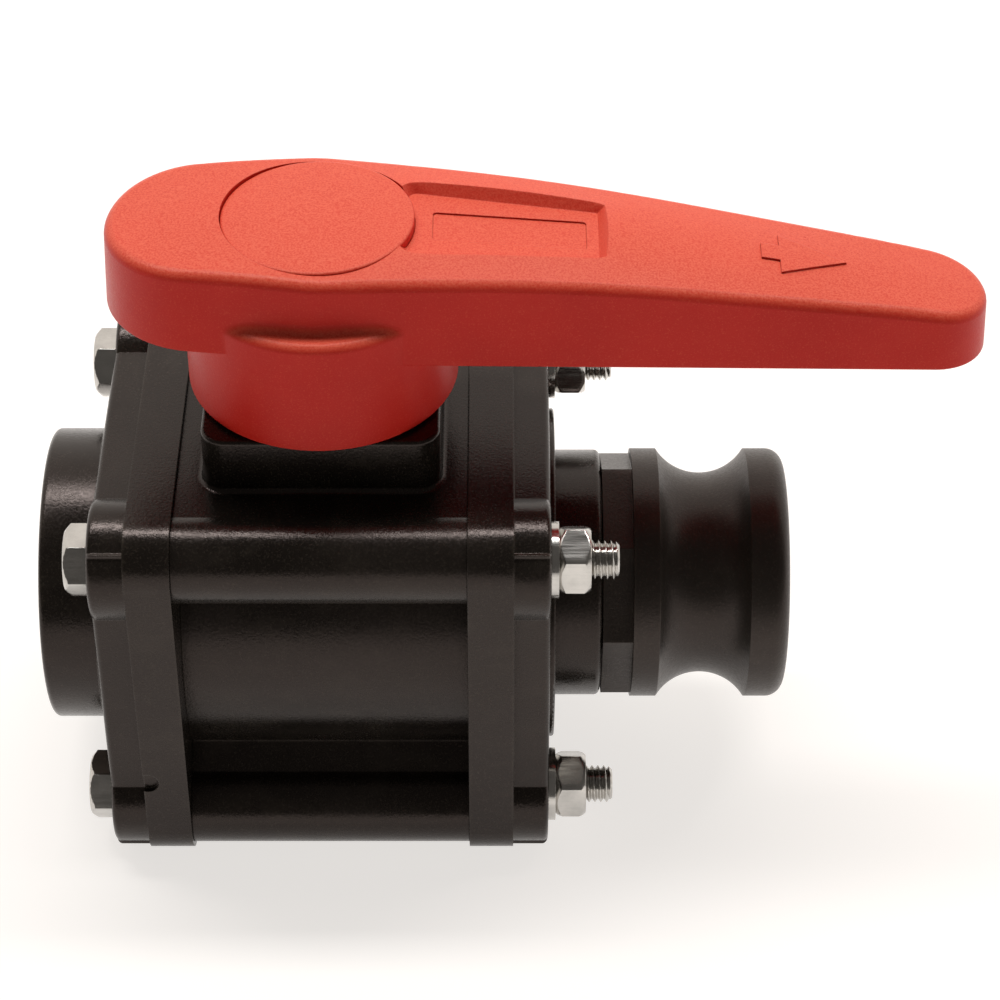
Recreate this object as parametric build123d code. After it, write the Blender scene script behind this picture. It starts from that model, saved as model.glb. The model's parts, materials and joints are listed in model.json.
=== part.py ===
from build123d import *
import math
import os

# Three-piece bolted ball valve: a moulded body between two square end flanges, a quarter-turn
# lever handle, a female-threaded hub on one side and a cam-and-groove adapter on the other.
#
# Millimetres.  The origin is the centre of the ball, +X runs along the flow towards the adapter,
# and +Z runs up the stem.  The valve is open at rest, with the lever in line with the flow.

OVERLAP = 1.0             # joined solids run this far into each other, and cutters past faces
FIT_GAP = 0.05            # gap between fixed parts that sit in each other

# ---- flow path and ball ----
BORE_R = 19.0
BALL_R = 26.5
RUNNING = 0.05            # radial clearance of the parts that turn or slide on each other
SLOT_WIDTH = 8.1          # slot across the top of the ball, for the stem's tang
SLOT_FLOOR_Z = 21.4

# ---- body ----
BODY_HALF = 29.5          # half of the body's length between the flanges
CHAMBER_R = 28.5
BARREL_R = 37.0
TUBE_R = 9.0              # tubes around the bolts, at the body's four corners
TUBE_OFFSET = 34.6        # their centres stand a little outside the bolts
TUBE_WEB = 13.5           # thickness of the web from the barrel to each tube
PAD_HALF = 32.5           # half width of the flat pads above and below the barrel
PAD_TOP_Z = 43.2
BONNET_HALF = 24.0
BONNET_CORNER_R = 5.0
BONNET_TOP_Z = 56.0
BONNET_FILLET = 1.2
BONNET_TOP_ROUND = 0.8

# ---- end flanges ----
FLANGE_HALF = 44.5        # half of the square's side
FLANGE_CORNER_R = 9.5
FLANGE_STEP_X = 38.8      # the outer layer starts here
FLANGE_FACE_X = 46.25
FLANGE_ROUND = 1.2        # rounding of the flange's outer edges
SIDE_RECESS = 3.2         # depth of the outer layer's sides between its corner lobes
DISC_R = 35.4             # raised disc around each hub
DISC_FACE_X = 47.45
DISC_ROUND = 0.5
SPIGOT_R = 28.4           # the flange's nose inside the body's chamber
SPIGOT_END_X = 17.5
GATE_MARK_R = 2.4         # moulding mark on the left flange
GATE_MARK_X = -37.9
GATE_MARK_Z = -19.7
GATE_MARK_DEPTH = 1.0

# ---- hubs and threads (pipe thread major radii) ----
LEFT_HUB_R = 31.1
LEFT_HUB_END = 59.5
LEFT_THREAD_R = 23.9      # G 1 1/2
LEFT_THREAD_LENGTH = 21.0
LEFT_MOUTH_STEP = 1.0     # widening at the left hub's mouth, and its depth
RIGHT_HUB_R = 26.45
RIGHT_HUB_END = 57.3
RIGHT_THREAD_R = 20.95    # G 1 1/4
RIGHT_THREAD_LENGTH = 17.5
THREAD_END_GAP = 1.0      # between the adapter's end and the bottom of the right hub's thread
HUB_CHAMFER = 1.2
O_RING_SEAT_R = 23.0      # counterbore at the right hub's mouth, for the adapter's O-ring
O_RING_SEAT_DEPTH = 2.4

# ---- cam-and-groove adapter ----
ADAPTER_START_X = 57.5
ADAPTER_BORE_R = 17.0
WRENCH_CIRCUM_R = 26.3    # across the corners of the eight wrench flats, halved
WRENCH_END_X = 63.9
WRENCH_TURN = 7.5         # degrees that a corner stands from the vertical
ADAPTER_R = 26.75
GROOVE_CENTRE_X = 78.9
GROOVE_ARC_R = 11.2
GROOVE_BOTTOM_R = 21.5
ADAPTER_END_X = 96.6
ADAPTER_NOSE_ROUND = 3.6

# ---- seats and seals ----
SEAT_OUTER_R = 25.0
SEAT_INNER_R = 19.2
SEAT_BACK_X = 21.0
SEAT_FRONT_X = 14.5
CORD_R = 1.3              # O-ring cord of the flange, seat and adapter rings
FLANGE_SEAL_X = 26.0
FLANGE_SEAL_FLOOR_R = CHAMBER_R - 2 * CORD_R - 2 * FIT_GAP

# ---- stem ----
STEM_R = 8.0
STEM_SHOULDER_R = 11.0
STEM_SHOULDER_Z = 27.5
STEM_SHOULDER_TOP_Z = 31.5
THRUST_WASHER_TOP_Z = 33.0
TANG_WIDTH = 8.0
TANG_LENGTH = 15.0
TANG_END_Z = 21.8
STEM_RING_HEIGHTS = (40.0, 46.0)
STEM_CORD_R = 1.05
STEM_SQUARE = 11.0
STEM_SQUARE_START_Z = 58.0
STEM_TOP_Z = 83.8

# ---- handle ----
HUB_R = 23.0              # the lever's outline is the hull of three circles: over the stem,
HEEL_R = 20.3             # at its heel
HEEL_X = -22.5
TIP_R = 11.75             # and at its tip
TIP_X = 121.8
OUTLINE_Z = 76.0          # the outline is drawn at this height; its walls lean inwards above it
DRAFT = 2.5               # degrees that they lean
# The top is a smooth surface through arcs across the lever: place, height of the middle, radius.
DECK_STATIONS = [(-50.0, 91.0, 300.0), (-24.0, 94.6, 300.0), (0.0, 94.9, 150.0), (24.0, 94.4, 85.0),
                 (57.0, 91.1, 65.0), (100.0, 83.2, 85.0), (138.0, 74.0, 150.0)]
ABOVE_DECK_Z = 97.0       # just above the highest point of the top
SECTION_HALF = 35.0       # half width of the sections that shape the deck, wider than the lever
SECTION_FLOOR_Z = 34.0    # and their floor, below the lever
HEEL_BOTTOM_Z = 76.0
BOTTOM_BEND_X = -12.0
TIP_BOTTOM_Z = 64.2
DECK_ROUND = 2.2
LEDGE_BLEND = 2.0         # between the lever's walls and the skirt's top
WALL = 3.0
DECK_WALL = 5.0
SKIRT_R = 27.5
SKIRT_BOTTOM_Z = 56.8
SKIRT_TOP_Z = 82.3
SKIRT_ROUND = 1.8
WEB_BOTTOM_Z = 79.5       # floor under the cap pocket
POCKET_FLOOR_Z = 84.5
BOSS_R = 12.5
BOSS_BOTTOM_Z = 58.4
RIB_THICKNESS = 2.6
RIB_PLACES = (48.0, 70.0, 92.0, 112.0)
RIB_SETBACK = 3.0         # ribs end this far above the lever's lower edge

# ---- stops under the handle ----
POST_ANGLE = 135.0        # stop post on the bonnet, degrees from +X
POST_R = 18.2
POST_SIZE = 5.0
POST_TOP_Z = 64.0
TRAVEL = 90.0

# ---- label recess, arrow and cap on the lever ----
RECESS_START_X = 15.0     # its mouth lies on a plane a little above the deck
RECESS_END_X = 58.8
RECESS_START_Z = 95.8
RECESS_END_Z = 92.3
RECESS_START_HALF = 13.9
RECESS_END_HALF = 10.7
RECESS_DEPTH = 3.5        # below that plane
RECESS_TAPER = 40.0
RECESS_START_CORNER = 5.0
RECESS_END_CORNER = 1.5
PLATE_START_X = 23.0
PLATE_END_X = 53.5
PLATE_HALF = 4.6
PLATE_CORNER = 0.8
PLATE_DEPTH = 0.35
ARROW_TAIL_X = 87.8
ARROW_NECK_X = 91.5
ARROW_TIP_X = 105.0
ARROW_TAIL_HALF = 2.4
ARROW_HEAD_HALF = 6.2
ARROW_HEIGHT = 0.45
CAP_R = 19.2
CAP_EDGE_Z = 94.0
CAP_DOME = 0.8
CAP_THICKNESS = 2.6
CAP_ROUND = 0.6
CAP_RING_R = 17.6
CAP_RING_THICKNESS = 1.6

# ---- screw on the stem ----
SCREW_R = 3.0
SCREW_HEAD_R = 5.0
SCREW_HEAD_HEIGHT = 3.6
SCREW_LENGTH = 18.0
SCREW_HEAD_ROUND = 0.5
SCREW_KEY = 5.0
SCREW_SOCKET_DEPTH = 2.4
SCREW_WASHER_R = 9.0
SCREW_WASHER_THICKNESS = 1.6

# ---- M8 fasteners through the flanges ----
BOLT_OFFSET = 32.25       # half of the bolt square
BOLT_R = 4.0
BOLT_HOLE_R = 4.5
BOLT_POINT = 0.7          # bevel at the bolt's tip
BOLT_HEAD_ACROSS = 13.0
BOLT_HEAD_HEIGHT = 5.3
HEX_BEVEL = 0.3           # how far the bevel runs in from the middle of a hexagon's side
NUT_ACROSS = 13.0
NUT_HEIGHT = 6.5
WASHER_R = 7.8
WASHER_BORE_R = 4.2
WASHER_THICKNESS = 1.6
BOLT_PAST_NUT = 5.7
BOLT_CENTRES = [(y, z) for y in (-BOLT_OFFSET, BOLT_OFFSET) for z in (-BOLT_OFFSET, BOLT_OFFSET)]


# ---- helpers ----
def rod(radius, x0, x1, y=0.0, z=0.0):
    """A cylinder along X between two places."""
    return Pos((x0 + x1) / 2, y, z) * Rot(0, 90, 0) * Cylinder(radius, x1 - x0)


def post(radius, z0, z1):
    """A cylinder about the stem's axis."""
    return Pos(0, 0, (z0 + z1) / 2) * Cylinder(radius, z1 - z0)


def block(x0, x1, y0, y1, z0, z1):
    """A box between two corners."""
    return Pos((x0 + x1) / 2, (y0 + y1) / 2, (z0 + z1) / 2) * Box(x1 - x0, y1 - y0, z1 - z0)


def along_x(outline, x0, x1):
    """A flat outline drawn in Y and Z, made solid from x0 to x1."""
    return extrude(Plane.YZ.offset(x0) * outline, amount=x1 - x0)


def hexagon_prism(across_flats, x0, x1, y, z, bevelled_end):
    """A hexagon along X with a flat on top, its corners bevelled at one end."""
    circumradius = across_flats / math.sqrt(3)
    prism = along_x(Pos(y, z) * RegularPolygon(circumradius, 6, rotation=0), x0, x1)
    height = x1 - x0
    bevel_top = across_flats / 2 - HEX_BEVEL
    cone_base = bevel_top + height * math.sqrt(3)
    turn = 90 if bevelled_end > 0 else -90
    cone = Pos((x0 + x1) / 2, y, z) * Rot(0, turn, 0) * Cone(cone_base, bevel_top, height)
    return prism & cone


def o_ring_about_x(ring_r, cord_r, x):
    """An O-ring about the flow axis."""
    return Pos(x, 0, 0) * Rot(0, 90, 0) * Torus(ring_r, cord_r)


def mirrored(shape):
    """The same piece for the other side of the valve."""
    return mirror(shape, about=Plane.YZ)


# ---- body ----
def body_shell():
    """Barrel, corner tubes, pads and bonnet, still solid inside."""
    shell = rod(BARREL_R, -BODY_HALF, BODY_HALF)
    reach = math.hypot(TUBE_OFFSET, TUBE_OFFSET)
    web_half = TUBE_WEB / 2
    for corner in range(4):
        turn = Rot(45 + 90 * corner, 0, 0)
        shell += turn * rod(TUBE_R, -BODY_HALF, BODY_HALF, y=reach)
        shell += turn * block(-BODY_HALF, BODY_HALF, 0, reach, -web_half, web_half)
    shell += block(-BODY_HALF, BODY_HALF, -PAD_HALF, PAD_HALF, -PAD_TOP_Z, -CHAMBER_R)
    shell += block(-BODY_HALF, BODY_HALF, -PAD_HALF, PAD_HALF, CHAMBER_R, PAD_TOP_Z)
    return shell


def bonnet():
    """Rounded-square tower around the stem, flared where it meets the pad."""
    side = 2 * BONNET_HALF
    outline = RectangleRounded(side, side, BONNET_CORNER_R)
    tower = extrude(Plane.XY.offset(CHAMBER_R) * outline, amount=BONNET_TOP_Z - CHAMBER_R)
    return fillet(tower.faces().sort_by(Axis.Z)[-1].edges(), BONNET_TOP_ROUND)


def stop_post():
    """Post on the bonnet that the handle's two stop wings meet at the ends of the travel."""
    half = POST_SIZE / 2
    upright = block(POST_R - half, POST_R + half, -half, half, BONNET_TOP_Z - OVERLAP, POST_TOP_Z)
    return Rot(0, 0, POST_ANGLE) * upright


def body_casing():
    shell = body_shell() + bonnet()
    foot = [e for e in shell.edges().filter_by_position(Axis.Z, PAD_TOP_Z - FIT_GAP, PAD_TOP_Z + FIT_GAP)
            if max(abs(e.center().X), abs(e.center().Y)) < BONNET_HALF + FIT_GAP]
    shell = fillet(foot, BONNET_FILLET)
    shell += stop_post()
    shell -= rod(CHAMBER_R, -BODY_HALF, BODY_HALF)
    for y, z in BOLT_CENTRES:
        shell -= rod(BOLT_HOLE_R, -BODY_HALF, BODY_HALF, y, z)
    shell -= post(STEM_SHOULDER_R + RUNNING, 0, THRUST_WASHER_TOP_Z)
    shell -= post(STEM_R + RUNNING, 0, BONNET_TOP_Z)
    return shell


# ---- end flanges ----
def flange_plate():
    """Square plate in two layers: the outer one is set in between round lobes at the bolts."""
    square = RectangleRounded(2 * FLANGE_HALF, 2 * FLANGE_HALF, FLANGE_CORNER_R)
    inner_side = 2 * (FLANGE_HALF - SIDE_RECESS)
    lobed = Rectangle(inner_side, inner_side)
    for y, z in BOLT_CENTRES:
        lobed += Pos(y, z) * Circle(FLANGE_HALF - BOLT_OFFSET)
    outer_layer = along_x(lobed, FLANGE_STEP_X, FLANGE_FACE_X)
    outer_layer = fillet(outer_layer.faces().sort_by(Axis.X)[-1].outer_wire().edges(), FLANGE_ROUND)
    return along_x(square, BODY_HALF, FLANGE_STEP_X) + outer_layer


def end_flange(hub_r, hub_end, thread_r, thread_length, mouth_r, mouth_depth):
    """One end flange, as it stands on the +X side."""
    hub = rod(hub_r, BODY_HALF, hub_end)
    hub = fillet(hub.edges().sort_by(Axis.X)[-1], HUB_CHAMFER)
    disc = rod(DISC_R, BODY_HALF, DISC_FACE_X)
    disc = fillet(disc.edges().sort_by(Axis.X)[-1], DISC_ROUND)
    flange = flange_plate() + disc + hub + rod(SPIGOT_R, SPIGOT_END_X, BODY_HALF)
    flange -= rod(BORE_R, 0, hub_end)
    flange -= rod(thread_r, hub_end - thread_length, hub_end)
    flange -= rod(mouth_r, hub_end - mouth_depth, hub_end)
    flange -= rod(SEAT_OUTER_R + FIT_GAP, 0, SEAT_BACK_X + FIT_GAP)
    flange -= seal_groove_behind_seat()
    flange -= seal_groove_on_spigot()
    for y, z in BOLT_CENTRES:
        flange -= rod(BOLT_HOLE_R, BODY_HALF, FLANGE_FACE_X, y, z)
    return flange


def seal_groove_behind_seat():
    """Ring-shaped pocket in the flange for the O-ring that loads the seat."""
    centre = (SEAT_OUTER_R + SEAT_INNER_R) / 2
    depth = SEAT_BACK_X + 2 * CORD_R + 2 * FIT_GAP
    half_width = CORD_R + FIT_GAP
    return rod(centre + half_width, SEAT_BACK_X, depth) - rod(centre - half_width, 0, depth)


def seal_groove_on_spigot():
    """Groove around the flange's nose for the O-ring against the chamber."""
    start = FLANGE_SEAL_X - CORD_R - FIT_GAP
    end = FLANGE_SEAL_X + CORD_R + FIT_GAP
    return rod(SPIGOT_R + OVERLAP, start, end) - rod(FLANGE_SEAL_FLOOR_R, start - OVERLAP, end + OVERLAP)


def left_end_flange():
    mouth_r = LEFT_THREAD_R + LEFT_MOUTH_STEP
    flange = end_flange(LEFT_HUB_R, LEFT_HUB_END, LEFT_THREAD_R, LEFT_THREAD_LENGTH, mouth_r, LEFT_MOUTH_STEP)
    half_depth = GATE_MARK_DEPTH / 2
    centre = Pos(GATE_MARK_X, -FLANGE_HALF + half_depth, GATE_MARK_Z)
    gate_mark = centre * Rot(90, 0, 0) * Cylinder(GATE_MARK_R, 2 * half_depth)
    return mirrored(flange) - gate_mark


def right_end_flange():
    return end_flange(RIGHT_HUB_R, RIGHT_HUB_END, RIGHT_THREAD_R, RIGHT_THREAD_LENGTH,
                      O_RING_SEAT_R, O_RING_SEAT_DEPTH)


# ---- adapter ----
def adapter():
    """Cam-and-groove male end with a wrench octagon and an external pipe thread."""
    thread_start = RIGHT_HUB_END - RIGHT_THREAD_LENGTH + THREAD_END_GAP
    threaded = rod(RIGHT_THREAD_R - FIT_GAP, thread_start, ADAPTER_START_X)
    octagon = RegularPolygon(WRENCH_CIRCUM_R, 8, rotation=90 - WRENCH_TURN)
    wrench = along_x(octagon, ADAPTER_START_X, WRENCH_END_X)
    body = rod(ADAPTER_R, WRENCH_END_X, ADAPTER_END_X)
    body = fillet(body.edges().sort_by(Axis.X)[-1], ADAPTER_NOSE_ROUND)
    groove_centre_r = GROOVE_BOTTOM_R + GROOVE_ARC_R
    body -= o_ring_about_x(groove_centre_r, GROOVE_ARC_R, GROOVE_CENTRE_X)
    piece = threaded + wrench + body
    o_ring_neck = rod(O_RING_SEAT_R + OVERLAP, RIGHT_HUB_END - O_RING_SEAT_DEPTH, ADAPTER_START_X)
    o_ring_neck -= rod(O_RING_SEAT_R - 2 * CORD_R - 2 * FIT_GAP, 0, ADAPTER_END_X)
    piece -= o_ring_neck
    return piece - rod(ADAPTER_BORE_R, 0, ADAPTER_END_X)


def adapter_o_ring():
    x = (RIGHT_HUB_END - O_RING_SEAT_DEPTH + ADAPTER_START_X) / 2
    return o_ring_about_x(O_RING_SEAT_R - CORD_R - FIT_GAP, CORD_R - FIT_GAP, x)


# ---- ball, seats and O-rings ----
def ball():
    sphere = Sphere(BALL_R)
    sphere -= rod(BORE_R, -BALL_R, BALL_R)
    half = SLOT_WIDTH / 2
    return sphere - block(-half, half, -BALL_R, BALL_R, SLOT_FLOOR_Z, BALL_R)


def seat():
    """Seat ring on the +X side, turned from a section whose front follows the ball."""
    face_r = BALL_R + RUNNING
    lip = (math.sqrt(face_r ** 2 - SEAT_INNER_R ** 2), SEAT_INNER_R)
    front = (SEAT_FRONT_X, math.sqrt(face_r ** 2 - SEAT_FRONT_X ** 2))
    middle_angle = (math.atan2(lip[1], lip[0]) + math.atan2(front[1], front[0])) / 2
    middle = (face_r * math.cos(middle_angle), face_r * math.sin(middle_angle))
    sides = Polyline(lip, (SEAT_BACK_X, SEAT_INNER_R), (SEAT_BACK_X, SEAT_OUTER_R),
                     (SEAT_FRONT_X, SEAT_OUTER_R), front)
    section = make_face([*sides.edges(), ThreePointArc(front, middle, lip)])
    return revolve(section, Axis.X)


def seat_o_ring():
    centre = (SEAT_OUTER_R + SEAT_INNER_R) / 2
    return o_ring_about_x(centre, CORD_R, SEAT_BACK_X + FIT_GAP + CORD_R)


def flange_o_ring():
    return o_ring_about_x(CHAMBER_R - CORD_R - FIT_GAP, CORD_R, FLANGE_SEAL_X)


# ---- stem ----
def stem():
    tang_half = TANG_WIDTH / 2
    tang_top = STEM_SHOULDER_Z + OVERLAP
    piece = block(-tang_half, tang_half, -TANG_LENGTH / 2, TANG_LENGTH / 2, TANG_END_Z, tang_top)
    piece &= post(STEM_SHOULDER_R, TANG_END_Z, tang_top)
    piece += post(STEM_SHOULDER_R, STEM_SHOULDER_Z, STEM_SHOULDER_TOP_Z)
    piece += post(STEM_R, STEM_SHOULDER_Z, STEM_SQUARE_START_Z)
    square_half = STEM_SQUARE / 2
    piece += block(-square_half, square_half, -square_half, square_half, STEM_SHOULDER_Z, STEM_TOP_Z)
    for z in STEM_RING_HEIGHTS:
        half_width = STEM_CORD_R + FIT_GAP
        groove = post(STEM_R + OVERLAP, z - half_width, z + half_width)
        groove -= post(STEM_R - 2 * STEM_CORD_R, z - half_width, z + half_width)
        piece -= groove
    return piece - post(SCREW_R + FIT_GAP, STEM_TOP_Z - SCREW_LENGTH, STEM_TOP_Z)


def stem_o_ring(z):
    return Pos(0, 0, z) * Torus(STEM_R - STEM_CORD_R + FIT_GAP / 2, STEM_CORD_R - FIT_GAP / 2)


def stem_thrust_washer():
    gap = FIT_GAP / 2
    ring = post(STEM_SHOULDER_R, STEM_SHOULDER_TOP_Z + gap, THRUST_WASHER_TOP_Z - gap)
    return ring - post(STEM_R + RUNNING, STEM_SHOULDER_TOP_Z, THRUST_WASHER_TOP_Z)


# ---- handle ----
def lever_outline(inset=0.0):
    """Plan of the lever: the hull of the circles at its heel, its hub and its tip."""
    circles = [Pos(HEEL_X, 0) * Circle(HEEL_R - inset), Circle(HUB_R - inset),
               Pos(TIP_X, 0) * Circle(TIP_R - inset)]
    return make_hull([circle.edges()[0] for circle in circles])


def deck_section(x, middle_z, radius):
    """Upright section of the space under the deck at one place along the lever."""
    edge_z = middle_z - radius + math.sqrt(radius ** 2 - SECTION_HALF ** 2)
    corners = [(-SECTION_HALF, edge_z), (-SECTION_HALF, SECTION_FLOOR_Z),
               (SECTION_HALF, SECTION_FLOOR_Z), (SECTION_HALF, edge_z)]
    crown = ThreePointArc(corners[0], (0, middle_z), corners[-1])
    return Plane.YZ.offset(x) * make_face([*Polyline(*corners).edges(), crown])


def under_deck(drop=0.0):
    """Everything under the lever's top, lowered by drop."""
    return Pos(0, 0, -drop) * loft([deck_section(*station) for station in DECK_STATIONS])


def lever_side():
    """Side view of the lever as a slab across Y: level under the heel, rising slope to the tip."""
    left = HEEL_X - HEEL_R - OVERLAP
    right = TIP_X + TIP_R + OVERLAP
    view = Plane.XZ * Polygon((left, HEEL_BOTTOM_Z), (BOTTOM_BEND_X, HEEL_BOTTOM_Z),
                              (right, TIP_BOTTOM_Z), (right, ABOVE_DECK_Z), (left, ABOVE_DECK_Z), align=None)
    return extrude(view, amount=HUB_R + OVERLAP, both=True)


def lever_shell():
    """The lever's outside, with its top edge rounded."""
    lean = math.tan(math.radians(DRAFT))
    levels = [TIP_BOTTOM_Z - OVERLAP, ABOVE_DECK_Z]
    walls = loft([Plane.XY.offset(z) * lever_outline((z - OUTLINE_Z) * lean) for z in levels], ruled=True)
    solid = walls & under_deck() & lever_side()
    top = solid.faces().sort_by(Axis.Z)[-1]
    return fillet(top.outer_wire().edges(), DECK_ROUND)


def ledge_edges(solid, rim):
    """Edges around the skirt's flat top: its round rim, or where the lever's walls stand on it."""
    level = solid.edges().filter_by_position(Axis.Z, SKIRT_TOP_Z - FIT_GAP, SKIRT_TOP_Z + FIT_GAP)
    level = [e for e in level if e.bounding_box().size.Z < FIT_GAP]
    return [e for e in level if rim == (e.geom_type == GeomType.CIRCLE and e.radius > SKIRT_R - FIT_GAP)]


def lever_on_skirt():
    """The lever and the round skirt under it, blended into each other."""
    solid = lever_shell() + post(SKIRT_R, SKIRT_BOTTOM_Z, SKIRT_TOP_Z)
    solid = fillet(ledge_edges(solid, rim=True), SKIRT_ROUND)
    return fillet([e for e in ledge_edges(solid, rim=False) if e.geom_type != GeomType.CIRCLE], LEDGE_BLEND)


def arm_hollow():
    """Space under the lever, with one rib along it and ribs across it left standing."""
    prism = extrude(Plane.XY.offset(TIP_BOTTOM_Z - OVERLAP) * lever_outline(WALL), amount=HUB_R + SKIRT_R)
    hollow = (prism & under_deck(DECK_WALL)) - post(SKIRT_R, SKIRT_BOTTOM_Z, ABOVE_DECK_Z)
    half = RIB_THICKNESS / 2
    ribs = block(HUB_R, TIP_X, -half, half, SKIRT_BOTTOM_Z, ABOVE_DECK_Z)
    for x in RIB_PLACES:
        ribs += block(x - half, x + half, -HUB_R, HUB_R, SKIRT_BOTTOM_Z, ABOVE_DECK_Z)
    ribs &= Pos(0, 0, RIB_SETBACK) * lever_side()
    return hollow - ribs


def stop_wing(angle):
    """Wing between the boss and the skirt."""
    wing = block(BOSS_R - OVERLAP, SKIRT_R - WALL + OVERLAP, -RIB_THICKNESS / 2, RIB_THICKNESS / 2,
                 BOSS_BOTTOM_Z, WEB_BOTTOM_Z + OVERLAP)
    return Rot(0, 0, angle) * wing


def wing_separation():
    """Angle between the post and a wing that just clears it, in degrees."""
    inner_r = POST_R - POST_SIZE / 2
    half_sum = (RIB_THICKNESS + POST_SIZE) / 2 + 2 * RUNNING
    return math.degrees(math.asin(half_sum / inner_r))


def recess_plane():
    """Plane of the label recess's mouth, falling towards the tip, with its origin at the stem's end."""
    fall = math.atan2(RECESS_START_Z - RECESS_END_Z, RECESS_END_X - RECESS_START_X)
    x_dir = (math.cos(fall), 0, -math.sin(fall))
    z_dir = (math.sin(fall), 0, math.cos(fall))
    return Plane(origin=(RECESS_START_X, 0, RECESS_START_Z), x_dir=x_dir, z_dir=z_dir)


def label_recess():
    """Tapered recess beside the cap, with a flat floor and sloping walls."""
    length = RECESS_END_X - RECESS_START_X
    mouth = Polygon((0, -RECESS_START_HALF), (length, -RECESS_END_HALF), (length, RECESS_END_HALF),
                    (0, RECESS_START_HALF), align=None)
    corners = mouth.vertices().sort_by(Axis.X)
    mouth = fillet(corners[:2], RECESS_START_CORNER)
    mouth = fillet(mouth.vertices().sort_by(Axis.X)[-2:], RECESS_END_CORNER)
    return extrude(recess_plane() * mouth, amount=-RECESS_DEPTH, taper=RECESS_TAPER)


def label_plate():
    """Shallow blank rectangle in the floor of the recess."""
    length = PLATE_END_X - PLATE_START_X
    centre = (PLATE_START_X + PLATE_END_X) / 2 - RECESS_START_X
    outline = Pos(centre, 0) * RectangleRounded(length, 2 * PLATE_HALF, PLATE_CORNER)
    return extrude(recess_plane() * outline, amount=-(RECESS_DEPTH + PLATE_DEPTH))


def arrow():
    """Raised arrow that points along the lever."""
    outline = Polygon((ARROW_TAIL_X, -ARROW_TAIL_HALF), (ARROW_NECK_X, -ARROW_TAIL_HALF),
                      (ARROW_NECK_X, -ARROW_HEAD_HALF), (ARROW_TIP_X, 0),
                      (ARROW_NECK_X, ARROW_HEAD_HALF), (ARROW_NECK_X, ARROW_TAIL_HALF),
                      (ARROW_TAIL_X, ARROW_TAIL_HALF), align=None)
    tool = extrude(Plane.XY.offset(TIP_BOTTOM_Z) * outline, amount=ABOVE_DECK_Z - TIP_BOTTOM_Z)
    return (tool & under_deck(-ARROW_HEIGHT)) - under_deck(OVERLAP)


def handle():
    shell = lever_on_skirt()
    shell -= arm_hollow()
    shell -= post(SKIRT_R - WALL, SKIRT_BOTTOM_Z, WEB_BOTTOM_Z)
    shell += post(BOSS_R, BOSS_BOTTOM_Z, WEB_BOTTOM_Z + OVERLAP)
    separation = wing_separation()
    for angle in (POST_ANGLE - separation, POST_ANGLE + TRAVEL + separation):
        shell += stop_wing(angle)
    half = STEM_SQUARE / 2 + FIT_GAP
    shell -= block(-half, half, -half, half, BOSS_BOTTOM_Z - OVERLAP, POCKET_FLOOR_Z + OVERLAP)
    quarter_turn = Rot(0, 0, 90)   # keeps the pocket's seam line off the lever's middle plane
    shell -= quarter_turn * post(CAP_R + 2 * FIT_GAP, POCKET_FLOOR_Z, ABOVE_DECK_Z)
    shell -= label_recess()
    shell -= label_plate()
    return shell + arrow()


def handle_cap():
    """Domed disc with a locating ring under it."""
    dome_r = (CAP_R ** 2 + CAP_DOME ** 2) / (2 * CAP_DOME)
    plate = post(CAP_R, CAP_EDGE_Z - CAP_THICKNESS, CAP_EDGE_Z + CAP_DOME)
    plate &= Pos(0, 0, CAP_EDGE_Z + CAP_DOME - dome_r) * Sphere(dome_r)
    rim = plate.edges().filter_by_position(Axis.Z, CAP_EDGE_Z - FIT_GAP, CAP_EDGE_Z + FIT_GAP)
    plate = fillet(rim, CAP_ROUND)
    ring = post(CAP_RING_R, POCKET_FLOOR_Z + FIT_GAP, CAP_EDGE_Z - CAP_THICKNESS + FIT_GAP)
    ring -= post(CAP_RING_R - CAP_RING_THICKNESS, POCKET_FLOOR_Z, CAP_EDGE_Z)
    return plate + ring


def handle_screw():
    """Socket-head screw down into the stem."""
    head_bottom = POCKET_FLOOR_Z + FIT_GAP + SCREW_WASHER_THICKNESS
    head = post(SCREW_HEAD_R, head_bottom, head_bottom + SCREW_HEAD_HEIGHT)
    head = fillet(head.edges().sort_by(Axis.Z)[-1], SCREW_HEAD_ROUND)
    socket_floor = head_bottom + SCREW_HEAD_HEIGHT - SCREW_SOCKET_DEPTH
    hexagon = RegularPolygon(SCREW_KEY / math.sqrt(3), 6)
    socket = extrude(Plane.XY.offset(socket_floor) * hexagon, amount=SCREW_HEAD_HEIGHT)
    shank = post(SCREW_R, STEM_TOP_Z - SCREW_LENGTH + OVERLAP, head_bottom)
    return head - socket + shank


def handle_screw_washer():
    bottom = POCKET_FLOOR_Z + FIT_GAP / 2
    ring = post(SCREW_WASHER_R, bottom, bottom + SCREW_WASHER_THICKNESS)
    return ring - post(SCREW_R + 2 * FIT_GAP, 0, ABOVE_DECK_Z)


# ---- fasteners ----
def at_each_bolt(make):
    """One solid per bolt place, kept apart in one group."""
    return Compound(children=[make(y, z) for y, z in BOLT_CENTRES])


def hex_bolt(y, z):
    tip = FLANGE_FACE_X + WASHER_THICKNESS + NUT_HEIGHT + BOLT_PAST_NUT
    shank = rod(BOLT_R, -FLANGE_FACE_X, tip, y, z)
    shank = chamfer(shank.edges().sort_by(Axis.X)[-1], BOLT_POINT)
    head = hexagon_prism(BOLT_HEAD_ACROSS, -FLANGE_FACE_X - BOLT_HEAD_HEIGHT, -FLANGE_FACE_X, y, z, -1)
    return (head + shank).solid()


def hex_nut(y, z):
    start = FLANGE_FACE_X + WASHER_THICKNESS
    nut = hexagon_prism(NUT_ACROSS, start, start + NUT_HEIGHT, y, z, 1)
    return (nut - rod(BOLT_R + FIT_GAP, start, start + NUT_HEIGHT, y, z)).solid()


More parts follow.
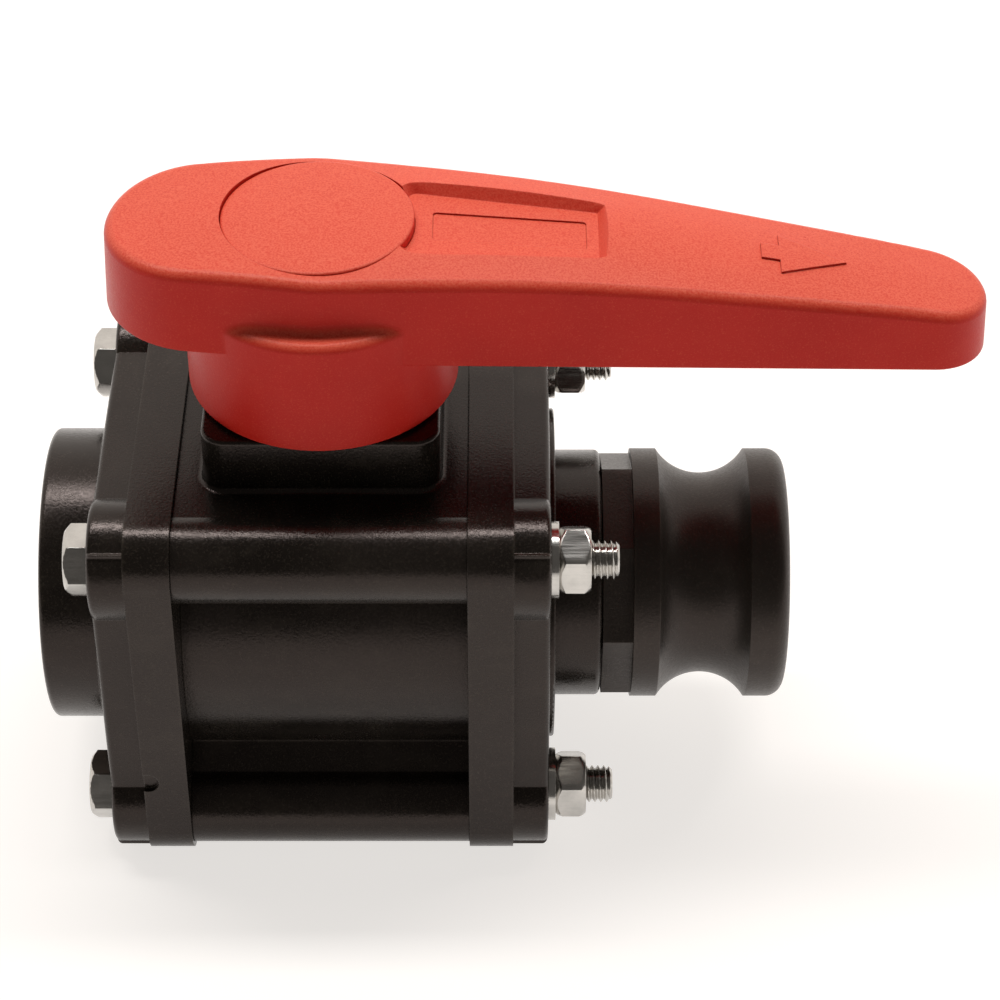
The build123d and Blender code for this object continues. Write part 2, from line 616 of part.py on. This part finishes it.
def bolt_washer(y, z):
    end = FLANGE_FACE_X + WASHER_THICKNESS
    ring = rod(WASHER_R, FLANGE_FACE_X, end, y, z) - rod(WASHER_BORE_R, FLANGE_FACE_X, end, y, z)
    return ring.solid()


PIECES = {
    "body_casing": body_casing(),
    "left_end_flange": left_end_flange(),
    "right_end_flange": right_end_flange(),
    "camlock_adapter": adapter(),
    "adapter_o_ring": adapter_o_ring(),
    "ball": ball(),
    "seat_right": seat(),
    "seat_left": mirrored(seat()),
    "seat_o_ring_right": seat_o_ring(),
    "seat_o_ring_left": mirrored(seat_o_ring()),
    "flange_o_ring_right": flange_o_ring(),
    "flange_o_ring_left": mirrored(flange_o_ring()),
    "stem": stem(),
    "stem_o_ring_lower": stem_o_ring(STEM_RING_HEIGHTS[0]),
    "stem_o_ring_upper": stem_o_ring(STEM_RING_HEIGHTS[1]),
    "stem_thrust_washer": stem_thrust_washer(),
    "handle": handle(),
    "handle_cap": handle_cap(),
    "handle_screw": handle_screw(),
    "handle_screw_washer": handle_screw_washer(),
    "hex_bolts": at_each_bolt(hex_bolt),
    "hex_nuts": at_each_bolt(hex_nut),
    "bolt_washers": at_each_bolt(bolt_washer),
}

os.makedirs("parts", exist_ok=True)
for name, piece in PIECES.items():
    export_step(piece, f"parts/{name}.step")
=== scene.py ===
"""Looks for the bolted ball valve: materials, threaded bolts, nuts, pipe thread, studio and camera.

Metres, in the frame of the CAD model: origin at the ball's centre, +X towards the adapter, +Z up.
"""
import json
import math

import bmesh
import bpy
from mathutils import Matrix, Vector


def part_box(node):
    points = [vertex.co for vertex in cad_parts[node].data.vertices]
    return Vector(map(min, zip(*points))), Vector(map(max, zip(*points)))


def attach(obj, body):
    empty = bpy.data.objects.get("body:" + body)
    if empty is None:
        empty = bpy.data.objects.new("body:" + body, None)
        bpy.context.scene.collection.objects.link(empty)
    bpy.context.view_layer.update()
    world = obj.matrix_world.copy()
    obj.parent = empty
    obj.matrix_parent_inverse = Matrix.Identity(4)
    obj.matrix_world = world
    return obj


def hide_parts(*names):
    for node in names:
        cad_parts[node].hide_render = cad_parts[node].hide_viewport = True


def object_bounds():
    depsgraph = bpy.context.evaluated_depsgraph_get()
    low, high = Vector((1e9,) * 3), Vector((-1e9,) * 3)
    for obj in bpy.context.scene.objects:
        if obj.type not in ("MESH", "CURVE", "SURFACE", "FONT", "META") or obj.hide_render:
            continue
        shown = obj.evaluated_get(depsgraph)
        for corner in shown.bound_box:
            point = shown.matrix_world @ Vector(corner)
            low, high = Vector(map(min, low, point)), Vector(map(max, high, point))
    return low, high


MM = 0.001

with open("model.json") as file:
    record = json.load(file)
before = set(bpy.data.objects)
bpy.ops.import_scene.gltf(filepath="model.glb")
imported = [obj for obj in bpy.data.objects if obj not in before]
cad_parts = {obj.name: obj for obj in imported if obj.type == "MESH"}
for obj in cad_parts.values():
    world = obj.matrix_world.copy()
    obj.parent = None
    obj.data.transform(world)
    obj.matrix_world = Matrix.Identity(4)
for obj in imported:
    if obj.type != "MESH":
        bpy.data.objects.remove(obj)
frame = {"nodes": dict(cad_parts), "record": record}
cad_low, cad_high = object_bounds()

# ---- driving values ----
EDGE_BREAK = 0.35 * MM            # how far the shading rounds a moulded edge
STEEL_EDGE_BREAK = 0.22 * MM
PLASTIC_GRAIN = 0.60 * MM
PLASTIC_GRAIN_DEPTH = 0.05 * MM
WARM_SHINE = (1.0, 0.82, 0.76, 1)

BOLT_R = 4.0 * MM
BOLT_PITCH = 1.25 * MM
BOLT_THREAD_DEPTH = 0.70 * MM
THREADED_LENGTH = 22 * MM         # of each bolt, back from its tip
TIP_BEVEL = 0.9 * MM
DISH_DEPTH = 0.35 * MM            # hollow in the face of a bolt's head
DISH_FLOOR_SHARE = 0.62           # radii in the face, as shares of the half width across flats
DISH_RIM_SHARE = 0.86
FACE_SHARE = 0.93
BEVEL_START_SHARE = 0.96
BEVEL_SHARE = 0.22                # of a head's or a nut's height
BEVEL_STEPS = 6
NUT_TURN = math.radians(-24)      # where the nuts came to rest, from a flat facing up
BOLT_SIDES = 72
THREAD_STEPS = 8                  # rings for each turn of thread
THREAD_SHARPNESS = 1.25           # above 1 leaves narrow flats at the crest and the root
HARDWARE_SHARP_ANGLE = 28         # edges steeper than this stay sharp, in degrees

PIPE_PITCH = 25.4 * MM / 11
PIPE_THREAD_DEPTH = 1.48 * MM
PIPE_LEAD_IN = 1.6 * MM           # the thread rises over this length at the mouth
PIPE_SIDES = 144
PIPE_THREAD_STEPS = 10
PIPE_SHARP_ANGLE = 50
PIPE_MOUTH_GAP = 0.2 * MM
PIPE_ROOT_GAP = 0.6 * MM
PIPE_WALL_GAP = 0.02 * MM         # keeps the thread's root just off the hub's wall
PIPE_BACKING = 0.3 * MM           # how far its back is sunk into the hub

FLOOR_GAP = 0.05 * MM
FLOOR_HALF = 6.0
FLOOR_GLOW = 0.72
SWEEP_TOP = math.radians(73)      # the white sweep behind reaches up to here
SWEEP_FADE = (-0.06, 0.08)        # and fades out across its rim
DIM_STUDIO = 0.10                 # brightness of the rest of the studio
STUDIO_TINT = (1.0, 0.94, 0.88, 1)
STRIP_ELEVATION = math.radians(75)    # above the horizon behind the object
STRIP_SIZE = (1.3, 0.14)
STRIP_POWER = 9.5
LAMP_DISTANCE = 1.0

CAMERA_ELEVATION = math.radians(40.61)
CAMERA_DISTANCE = 0.6643
CAMERA_LENS = 112.8
CAMERA_AIM_OFFSET = Vector((-0.0013, 0.0, -0.0047))   # from the centre of the object's box


# ---- node helpers ----
class Nodes:
    """Adds nodes to one material or world and links them by socket name."""

    def __init__(self, tree):
        self.tree = tree

    def add(self, kind, inputs=None, **settings):
        node = self.tree.nodes.new(kind)
        for name, value in settings.items():
            setattr(node, name, value)
        for name, value in (inputs or {}).items():
            self.feed(node.inputs[name], value)
        return node

    def feed(self, socket, value):
        """Links a socket to a socket, or sets its plain value."""
        if isinstance(value, bpy.types.NodeSocket):
            self.tree.links.new(value, socket)
        else:
            socket.default_value = value

    def math(self, operation, a, b=0.0, c=0.0):
        node = self.add("ShaderNodeMath", operation=operation)
        self.feed(node.inputs[0], a)
        self.feed(node.inputs[1], b)
        self.feed(node.inputs[2], c)
        return node.outputs[0]

    def ramp(self, value, low, high, from_low=0.0, from_high=1.0):
        """Maps a value from one range to another, clamped and smooth."""
        node = self.add("ShaderNodeMapRange", interpolation_type="SMOOTHSTEP")
        self.feed(node.inputs["Value"], value)
        self.feed(node.inputs["From Min"], from_low)
        self.feed(node.inputs["From Max"], from_high)
        self.feed(node.inputs["To Min"], low)
        self.feed(node.inputs["To Max"], high)
        return node.outputs["Result"]

    def mix(self, factor, a, b):
        """Mixes two colours."""
        node = self.add("ShaderNodeMix", data_type="RGBA")
        self.feed(node.inputs[0], factor)
        self.feed(node.inputs[6], a)
        self.feed(node.inputs[7], b)
        return node.outputs[2]

    def noise(self, vector, size, detail=3.0, roughness=0.55):
        """Noise whose largest features are about size metres across."""
        inputs = {"Vector": vector, "Scale": 1.0 / size, "Detail": detail, "Roughness": roughness}
        node = self.add("ShaderNodeTexNoise", inputs)
        return node.outputs["Fac"]

    def stretched(self, vector, scale):
        node = self.add("ShaderNodeMapping", {"Vector": vector, "Scale": scale})
        return node.outputs["Vector"]

    def rounded(self, radius, samples=6):
        """Normal that rounds the edges over a radius."""
        return self.add("ShaderNodeBevel", {"Radius": radius}, samples=samples).outputs["Normal"]

    def bump(self, height, distance, strength, normal=None):
        node = self.add("ShaderNodeBump", {"Height": height, "Distance": distance, "Strength": strength})
        if normal:
            self.feed(node.inputs["Normal"], normal)
        return node.outputs["Normal"]

    def edge_mask(self, radius):
        """1 along convex and concave edges, 0 on open faces."""
        rounded = self.rounded(radius, samples=4)
        true_normal = self.add("ShaderNodeNewGeometry").outputs["True Normal"]
        dot = self.add("ShaderNodeVectorMath", operation="DOT_PRODUCT")
        self.feed(dot.inputs[0], rounded)
        self.feed(dot.inputs[1], true_normal)
        return self.ramp(dot.outputs["Value"], 1.0, 0.0, 0.80, 0.995)


def new_material(name):
    """An empty principled material: itself, its nodes, its surface and its object coordinates."""
    material = bpy.data.materials.new(name)
    material.use_nodes = True
    material.node_tree.nodes.clear()
    nodes = Nodes(material.node_tree)
    output = nodes.add("ShaderNodeOutputMaterial")
    surface = nodes.add("ShaderNodeBsdfPrincipled")
    nodes.feed(output.inputs["Surface"], surface.outputs["BSDF"])
    coordinates = nodes.add("ShaderNodeTexCoord").outputs["Object"]
    return material, nodes, surface, coordinates


# ---- materials ----
def moulded_plastic(name, dark, light, worn, roughness, shine_level, grain=PLASTIC_GRAIN,
                    grain_depth=PLASTIC_GRAIN_DEPTH, wear=0.5, pale_patches=None):
    """Injection-moulded plastic: eroded grain, faint flow marks, handling rub on the edges.

    Painted top light: a paler colour, laid in patches of the fine grain over the faces that look up.
    """
    material, nodes, surface, place = new_material(name)
    clouds = nodes.noise(place, 38 * MM, 4.0)
    flow = nodes.noise(nodes.stretched(place, (1.0, 0.4, 1.6)), 7 * MM, 5.0, 0.6)
    fine = nodes.noise(place, grain, 2.0, 0.7)
    colour = nodes.mix(nodes.ramp(clouds, 0.0, 1.0, 0.32, 0.68), dark, light)
    colour = nodes.mix(nodes.ramp(flow, 0.0, 0.3 * wear, 0.45, 0.75), colour, worn)
    rub = nodes.math("MULTIPLY", nodes.edge_mask(1.1 * MM), nodes.ramp(flow, 0.15, 0.9, 0.35, 0.65))
    colour = nodes.mix(nodes.math("MULTIPLY", rub, wear), colour, worn)
    speckle = nodes.ramp(nodes.noise(place, grain * 0.8, 1.0), 0.0, 0.3, 0.52, 0.78)
    colour = nodes.mix(speckle, colour, worn)
    if pale_patches:
        normal = nodes.add("ShaderNodeNewGeometry").outputs["Normal"]
        up = nodes.add("ShaderNodeSeparateXYZ", {"Vector": normal}).outputs["Z"]
        upward = nodes.ramp(up, 0.0, 0.82, 0.15, 0.95)
        # painted top light: faces that look up get a paler colour, patchy with the fine grain
        painted_top_light = nodes.math("MULTIPLY", upward, nodes.ramp(fine, 0.35, 1.0, 0.25, 0.7))
        colour = nodes.mix(painted_top_light, colour, pale_patches)
    nodes.feed(surface.inputs["Base Color"], colour)
    surface.inputs["Specular IOR Level"].default_value = shine_level
    surface.inputs["Specular Tint"].default_value = WARM_SHINE
    dullness = nodes.math("ADD", nodes.ramp(clouds, roughness - 0.04, roughness + 0.05, 0.3, 0.7),
                          nodes.ramp(fine, -0.05, 0.06, 0.3, 0.7))
    nodes.feed(surface.inputs["Roughness"], dullness)
    waviness = nodes.bump(nodes.noise(place, 16 * MM, 2.0), 0.12 * MM, 0.35, nodes.rounded(EDGE_BREAK))
    nodes.feed(surface.inputs["Normal"], nodes.bump(fine, grain_depth, 0.9, waviness))
    return material


def body_plastic(name="body_plastic"):
    """Brownish-black glass-filled polypropylene with a satin face."""
    return moulded_plastic(name, (0.0070, 0.0056, 0.0044, 1), (0.0130, 0.0104, 0.0082, 1),
                           (0.060, 0.050, 0.038, 1), roughness=0.23, shine_level=0.36)


def adapter_plastic():
    """The same black plastic, with a duller face."""
    return moulded_plastic("adapter_plastic", (0.0110, 0.0092, 0.0074, 1), (0.0170, 0.0142, 0.0114, 1),
                           (0.065, 0.055, 0.043, 1), roughness=0.33, shine_level=0.42)


def handle_plastic(name="handle_plastic"):
    """Orange-red plastic with a fine sparkling grain, made paler on top by a painted top light on the faces
    that look up.
    """
    return moulded_plastic(name, (0.54, 0.012, 0.007, 1), (0.60, 0.018, 0.011, 1),
                           (0.74, 0.10, 0.05, 1), roughness=0.36, shine_level=0.20, grain=0.42 * MM,
                           # the last colour is the painted top light, laid on the faces that look up
                           grain_depth=0.055 * MM, wear=0.18, pale_patches=(0.78, 0.15, 0.085, 1))


def stainless():
    """Cold-formed stainless steel with fine drawing lines and a slightly warm tint."""
    material, nodes, surface, place = new_material("stainless")
    lines = nodes.noise(nodes.stretched(place, (0.08, 1.0, 1.0)), 0.5 * MM, 2.0)
    clouds = nodes.noise(place, 5 * MM, 3.0)
    colour = nodes.mix(nodes.ramp(clouds, 0.0, 1.0, 0.3, 0.7), (0.50, 0.485, 0.46, 1), (0.60, 0.58, 0.55, 1))
    colour = nodes.mix(nodes.ramp(lines, 0.0, 0.18, 0.5, 0.8), colour, (0.40, 0.385, 0.36, 1))
    nodes.feed(surface.inputs["Base Color"], colour)
    surface.inputs["Metallic"].default_value = 1.0
    nodes.feed(surface.inputs["Roughness"], nodes.ramp(lines, 0.14, 0.24, 0.3, 0.7))
    normal = nodes.bump(lines, 0.0015 * MM, 0.5, nodes.rounded(STEEL_EDGE_BREAK))
    nodes.feed(surface.inputs["Normal"], normal)
    return material


def ptfe():
    """White, waxy seat and washer material."""
    material, nodes, surface, place = new_material("ptfe")
    clouds = nodes.noise(place, 9 * MM, 3.0)
    turning = nodes.noise(nodes.stretched(place, (1.0, 0.05, 0.05)), 0.3 * MM, 2.0)
    colour = nodes.mix(nodes.ramp(clouds, 0.0, 1.0, 0.3, 0.7), (0.74, 0.73, 0.69, 1), (0.83, 0.82, 0.80, 1))
    nodes.feed(surface.inputs["Base Color"], colour)
    nodes.feed(surface.inputs["Roughness"], nodes.ramp(clouds, 0.32, 0.46, 0.3, 0.7))
    surface.inputs["Subsurface Weight"].default_value = 0.15
    surface.inputs["Subsurface Radius"].default_value = (2 * MM, 2 * MM, 2 * MM)
    nodes.feed(surface.inputs["Normal"], nodes.bump(turning, 0.02 * MM, 0.5))
    return material


def rubber():
    """Black nitrile with a faint bloom."""
    material, nodes, surface, place = new_material("seal_rubber")
    pale_patches = nodes.noise(place, 4 * MM, 4.0)
    fine = nodes.noise(place, 0.3 * MM, 2.0)
    spots = nodes.ramp(pale_patches, 0.0, 1.0, 0.35, 0.75)
    colour = nodes.mix(spots, (0.010, 0.010, 0.010, 1), (0.030, 0.030, 0.032, 1))
    nodes.feed(surface.inputs["Base Color"], colour)
    nodes.feed(surface.inputs["Roughness"], nodes.ramp(pale_patches, 0.45, 0.65, 0.3, 0.7))
    nodes.feed(surface.inputs["Normal"], nodes.bump(fine, 0.01 * MM, 0.5))
    return material


def ball_plastic():
    """Polished black ball with fine turning rings about its bore."""
    material, nodes, surface, place = new_material("ball_plastic")
    rings = nodes.noise(nodes.stretched(place, (1.0, 0.03, 0.03)), 0.4 * MM, 3.0)
    clouds = nodes.noise(place, 14 * MM, 3.0)
    tone = nodes.ramp(clouds, 0.0, 1.0, 0.3, 0.7)
    colour = nodes.mix(tone, (0.012, 0.012, 0.012, 1), (0.022, 0.021, 0.020, 1))
    nodes.feed(surface.inputs["Base Color"], colour)
    nodes.feed(surface.inputs["Roughness"], nodes.ramp(rings, 0.12, 0.24, 0.3, 0.7))
    nodes.feed(surface.inputs["Normal"], nodes.bump(rings, 0.008 * MM, 0.5))
    return material


def dress(materials):
    """Gives each CAD node the material of its slot."""
    slots = {row["node"]: row["material_slot"] for row in frame["record"]["subparts"]}
    for node, thing in frame["nodes"].items():
        thing.data.materials.clear()
        thing.data.materials.append(materials[slots[node]])


# ---- threads and bolts ----
def thread_radius(base, depth, pitch, along, angle):
    """Radius of a thread's flank at one place along the axis and one angle about it."""
    phase = (along / pitch - angle / math.tau) % 1.0
    wave = 0.5 + THREAD_SHARPNESS * (0.5 - abs(2 * phase - 1))
    return base + depth * min(1.0, max(0.0, wave))


def ring_points(mesh, centre, along, radius_at, sides):
    """One ring of vertices about an axis along X."""
    points = []
    for i in range(sides):
        angle = math.tau * i / sides
        radius = radius_at(angle)
        points.append(mesh.verts.new((along, centre[0] + radius * math.cos(angle),
                                      centre[1] + radius * math.sin(angle))))
    return points


def join_rings(mesh, first, second):
    """A band of faces between two rings of equally many vertices."""
    count = len(first)
    for i in range(count):
        mesh.faces.new((first[i], first[(i + 1) % count], second[(i + 1) % count], second[i]))


def finish_mesh(name, mesh, material, sharp_angle):
    """Turns a bmesh into a shaded piece that rides on the valve's body."""
    bmesh.ops.recalc_face_normals(mesh, faces=mesh.faces)
    data = bpy.data.meshes.new(name)
    mesh.to_mesh(data)
    mesh.free()
    for face in data.polygons:
        face.use_smooth = True
    data.set_sharp_from_angle(angle=math.radians(sharp_angle))
    data.materials.append(material)
    piece = bpy.data.objects.new(name, data)
    bpy.context.scene.collection.objects.link(piece)
    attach(piece, "valve_body")
    return piece


def hexagon_radius(across, angle):
    """Distance from the axis to a hexagon's side, with a flat facing +Z."""
    sector = math.tau / 6
    offset = angle % sector - sector / 2
    return across / 2 / math.cos(offset)


def clipped_hexagon(across, limit, turn=0.0):
    """Radius by angle of a hexagon whose corners are cut at a limit."""
    return lambda angle: min(limit, hexagon_radius(across, angle + turn))


def bevelled_end(face_x, bevel, across, turn=0.0):
    """Sections of a hexagon's end, from its round face to its full corners a bevel further on."""
    flat = across / 2
    corner = across / math.sqrt(3)
    bevel_start = flat * BEVEL_START_SHARE
    profile = [(face_x, lambda angle: flat * FACE_SHARE)]
    for i in range(BEVEL_STEPS + 1):
        share = i / BEVEL_STEPS
        limit = bevel_start + (corner - bevel_start) * share
        profile.append((face_x + bevel * share, clipped_hexagon(across, limit, turn)))
    return profile


def head_profile(head_x, seat_x, across):
    """Sections of a hex head from its dished face to its seat: place along X and radius by angle."""
    flat = across / 2
    corner = across / math.sqrt(3)
    profile = [(head_x + DISH_DEPTH, lambda angle: flat * DISH_FLOOR_SHARE),
               (head_x + DISH_DEPTH / 7, lambda angle: flat * DISH_RIM_SHARE)]
    profile += bevelled_end(head_x, (seat_x - head_x) * BEVEL_SHARE, across)
    profile.append((seat_x - STEEL_EDGE_BREAK, clipped_hexagon(across, corner)))
    profile.append((seat_x, clipped_hexagon(across, corner - STEEL_EDGE_BREAK)))
    return profile


def nut_profile(near_x, far_x, across):
    """Sections of a nut, bevelled at both faces, from its bore round to its bore."""
    bevel = (far_x - near_x) * BEVEL_SHARE
    near = bevelled_end(near_x, bevel, across, NUT_TURN)
    far = bevelled_end(far_x, -bevel, across, NUT_TURN)
    bore = BOLT_R - BOLT_THREAD_DEPTH
    return [(near_x, lambda angle: bore), *near, *reversed(far), (far_x, lambda angle: bore)]


def shank_profile(seat_x, tip_x):
    """Sections of a bolt's plain shank and rolled thread, bevelled at the tip."""
    thread_start = tip_x - THREADED_LENGTH
    profile = [(seat_x, lambda angle: BOLT_R), (thread_start - BOLT_PITCH, lambda angle: BOLT_R)]
    steps = int(THREADED_LENGTH / BOLT_PITCH * THREAD_STEPS)
    for i in range(steps + 1):
        along = thread_start + THREADED_LENGTH * i / steps
        tip_limit = BOLT_R - max(0.0, TIP_BEVEL - (tip_x - along))

        def threaded(angle, along=along, tip_limit=tip_limit):
            flank = thread_radius(BOLT_R - BOLT_THREAD_DEPTH, BOLT_THREAD_DEPTH, BOLT_PITCH, along, angle)
            return min(flank, tip_limit)

        profile.append((along, threaded))
    return profile


def add_bolt(mesh, centre, head_x, seat_x, tip_x, across):
    """One closed bolt about an axis along X."""
    profile = head_profile(head_x, seat_x, across) + shank_profile(seat_x, tip_x)
    rings = [ring_points(mesh, centre, along, radius_at, BOLT_SIDES) for along, radius_at in profile]
    for first, second in zip(rings, rings[1:]):
        join_rings(mesh, first, second)
    mesh.faces.new(rings[0])
    mesh.faces.new(rings[-1])


def add_nut(mesh, centre, near_x, far_x, across):
    """One closed nut about an axis along X."""
    profile = nut_profile(near_x, far_x, across)
    rings = [ring_points(mesh, centre, along, radius_at, BOLT_SIDES) for along, radius_at in profile]
    for first, second in zip(rings, rings[1:] + rings[:1]):
        join_rings(mesh, first, second)


def washer_radius():
    """Half of one washer's width, measured on the washers of the -Y side."""
    vertices = frame["nodes"]["bolt_washers"].data.vertices
    near = [v.co.y for v in vertices if v.co.y < 0]
    return (max(near) - min(near)) / 2


def bolt_centres():
    """(y, z) of each bolt, from the box around the washers."""
    low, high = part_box("bolt_washers")
    radius = washer_radius()
    return [(y, z) for y in (low.y + radius, high.y - radius) for z in (low.z + radius, high.z - radius)]


def across_flats(node):
    """Width across the flats of the hexagons in a CAD node, whose flats face up and down."""
    low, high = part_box(node)
    centres = bolt_centres()
    spacing = centres[1][1] - centres[0][1]
    return high.z - low.z - spacing


def make_bolts(material):
    """Threaded bolts in the place of the plain CAD bolts."""
    low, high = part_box("hex_bolts")
    seat_x = -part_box("bolt_washers")[0].x
    mesh = bmesh.new()
    for centre in bolt_centres():
        add_bolt(mesh, centre, low.x, seat_x, high.x, across_flats("hex_bolts"))
    piece = finish_mesh("threaded_bolts", mesh, material, HARDWARE_SHARP_ANGLE)
    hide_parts("hex_bolts")


def make_nuts(material):
    """Nuts with rounded bevels in the place of the CAD nuts, turned as they came to rest."""
    low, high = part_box("hex_nuts")
    mesh = bmesh.new()
    for centre in bolt_centres():
        add_nut(mesh, centre, low.x, high.x, across_flats("hex_nuts"))
    piece = finish_mesh("bevelled_nuts", mesh, material, HARDWARE_SHARP_ANGLE)
    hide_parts("hex_nuts")


def make_pipe_thread(material):
    """Internal parallel pipe thread inside the left hub."""
    mount = next(m for m in frame["record"]["mounts"] if m["name"] == "inlet_thread")
    wall = mount["dims"]["r_mm"] * MM
    length = mount["dims"]["length_mm"] * MM
    middle = mount["pos_m"][0]
    mouth = middle - length / 2 + PIPE_MOUTH_GAP
    root = middle + length / 2 - PIPE_ROOT_GAP
    steps = int((root - mouth) / PIPE_PITCH * PIPE_THREAD_STEPS)
    mesh = bmesh.new()
    inner = []
    for i in range(steps + 1):
        along = mouth + (root - mouth) * i / steps
        opening = max(0.0, 1 - (along - mouth) / PIPE_LEAD_IN)
        fade = max(0.0, 1 - (root - along) / PIPE_PITCH)

        def threaded(angle, along=along, cut=max(opening, fade)):
            crest = thread_radius(0.0, PIPE_THREAD_DEPTH, PIPE_PITCH, along, angle)
            return wall - PIPE_WALL_GAP - min(crest, PIPE_THREAD_DEPTH * (1 - cut))

        inner.append(ring_points(mesh, (0, 0), along, threaded, PIPE_SIDES))
    outer = [ring_points(mesh, (0, 0), along, lambda angle: wall + PIPE_BACKING, PIPE_SIDES)
             for along in (mouth, root)]
    for first, second in zip(inner, inner[1:]):
        join_rings(mesh, first, second)
    join_rings(mesh, inner[0], outer[0])
    join_rings(mesh, outer[0], outer[1])
    join_rings(mesh, outer[1], inner[-1])
    finish_mesh("inlet_pipe_thread", mesh, material, PIPE_SHARP_ANGLE)


# ---- studio ----
def make_floor():
    """Plain white floor that glows a little, so that shadows on it stay faint."""
    mesh = bmesh.new()
    spots = [(-FLOOR_HALF, -FLOOR_HALF), (FLOOR_HALF, -FLOOR_HALF),
             (FLOOR_HALF, FLOOR_HALF), (-FLOOR_HALF, FLOOR_HALF)]
    mesh.faces.new([mesh.verts.new((x, y, cad_low.z - FLOOR_GAP)) for x, y in spots])
    data = bpy.data.meshes.new("floor")
    mesh.to_mesh(data)
    mesh.free()
    floor = bpy.data.objects.new("floor", data)
    bpy.context.scene.collection.objects.link(floor)
    material, nodes, surface, place = new_material("floor_paper")
    tone = nodes.noise(place, 0.4, 2.0)
    nodes.feed(surface.inputs["Base Color"], nodes.mix(tone, (0.40, 0.38, 0.36, 1), (0.44, 0.42, 0.40, 1)))
    surface.inputs["Roughness"].default_value = 0.9
    surface.inputs["Emission Color"].default_value = (1.0, 0.97, 0.94, 1)
    surface.inputs["Emission Strength"].default_value = FLOOR_GLOW
    data.materials.append(material)


def make_world():
    """White sweep behind the object up to a steep angle, dim above and in front of it."""
    world = bpy.data.worlds.new("studio")
    bpy.context.scene.world = world
    world.use_nodes = True
    world.node_tree.nodes.clear()
    nodes = Nodes(world.node_tree)
    direction = nodes.add("ShaderNodeTexCoord").outputs["Generated"]
    split = nodes.add("ShaderNodeSeparateXYZ", {"Vector": direction})
    behind = nodes.math("MULTIPLY", split.outputs["Y"], math.sin(SWEEP_TOP))
    inside = nodes.math("MULTIPLY_ADD", split.outputs["Z"], -math.cos(SWEEP_TOP), behind)
    strength = nodes.ramp(inside, DIM_STUDIO, 1.0, *SWEEP_FADE)
    background = nodes.add("ShaderNodeBackground", {"Color": STUDIO_TINT, "Strength": strength})
    output = nodes.add("ShaderNodeOutputWorld")
    nodes.feed(output.inputs["Surface"], background.outputs["Background"])


def make_strip():
    """Long softbox across the object, steeply above and behind it."""
    middle = (cad_low + cad_high) / 2
    towards = Vector((0, math.cos(STRIP_ELEVATION), math.sin(STRIP_ELEVATION)))
    light = bpy.data.lights.new("strip_above", "AREA")
    light.shape = "RECTANGLE"
    light.size, light.size_y = STRIP_SIZE
    light.energy = STRIP_POWER
    lamp = bpy.data.objects.new("strip_above", light)
    lamp.location = middle + towards * LAMP_DISTANCE
    lamp.rotation_mode = "QUATERNION"
    lamp.rotation_quaternion = towards.to_track_quat("Z", "Y")
    bpy.context.scene.collection.objects.link(lamp)


def make_camera():
    """Looks at the front of the valve from above, in line with the Y axis."""
    aim = (cad_low + cad_high) / 2 + CAMERA_AIM_OFFSET
    back = Vector((0, -math.cos(CAMERA_ELEVATION), math.sin(CAMERA_ELEVATION)))
    data = bpy.data.cameras.new("camera")
    data.lens = CAMERA_LENS
    data.clip_start = 0.01
    camera = bpy.data.objects.new("camera", data)
    camera.location = aim + back * CAMERA_DISTANCE
    camera.rotation_mode = "QUATERNION"
    camera.rotation_quaternion = back.to_track_quat("Z", "Y")
    bpy.context.scene.collection.objects.link(camera)
    bpy.context.scene.camera = camera


steel = stainless()
plastic = body_plastic()
dress({
    "body_plastic": plastic,
    "adapter_plastic": adapter_plastic(),
    "ball_plastic": ball_plastic(),
    "ptfe": ptfe(),
    "seal_rubber": rubber(),
    "stem_plastic": body_plastic("stem_plastic"),
    "handle_plastic": handle_plastic(),
    "cap_plastic": handle_plastic("cap_plastic"),
    "stainless": steel,
})
make_bolts(steel)
make_nuts(steel)
make_pipe_thread(plastic)

make_floor()
make_world()
make_strip()
make_camera()
bpy.context.scene.view_settings.view_transform = "Standard"
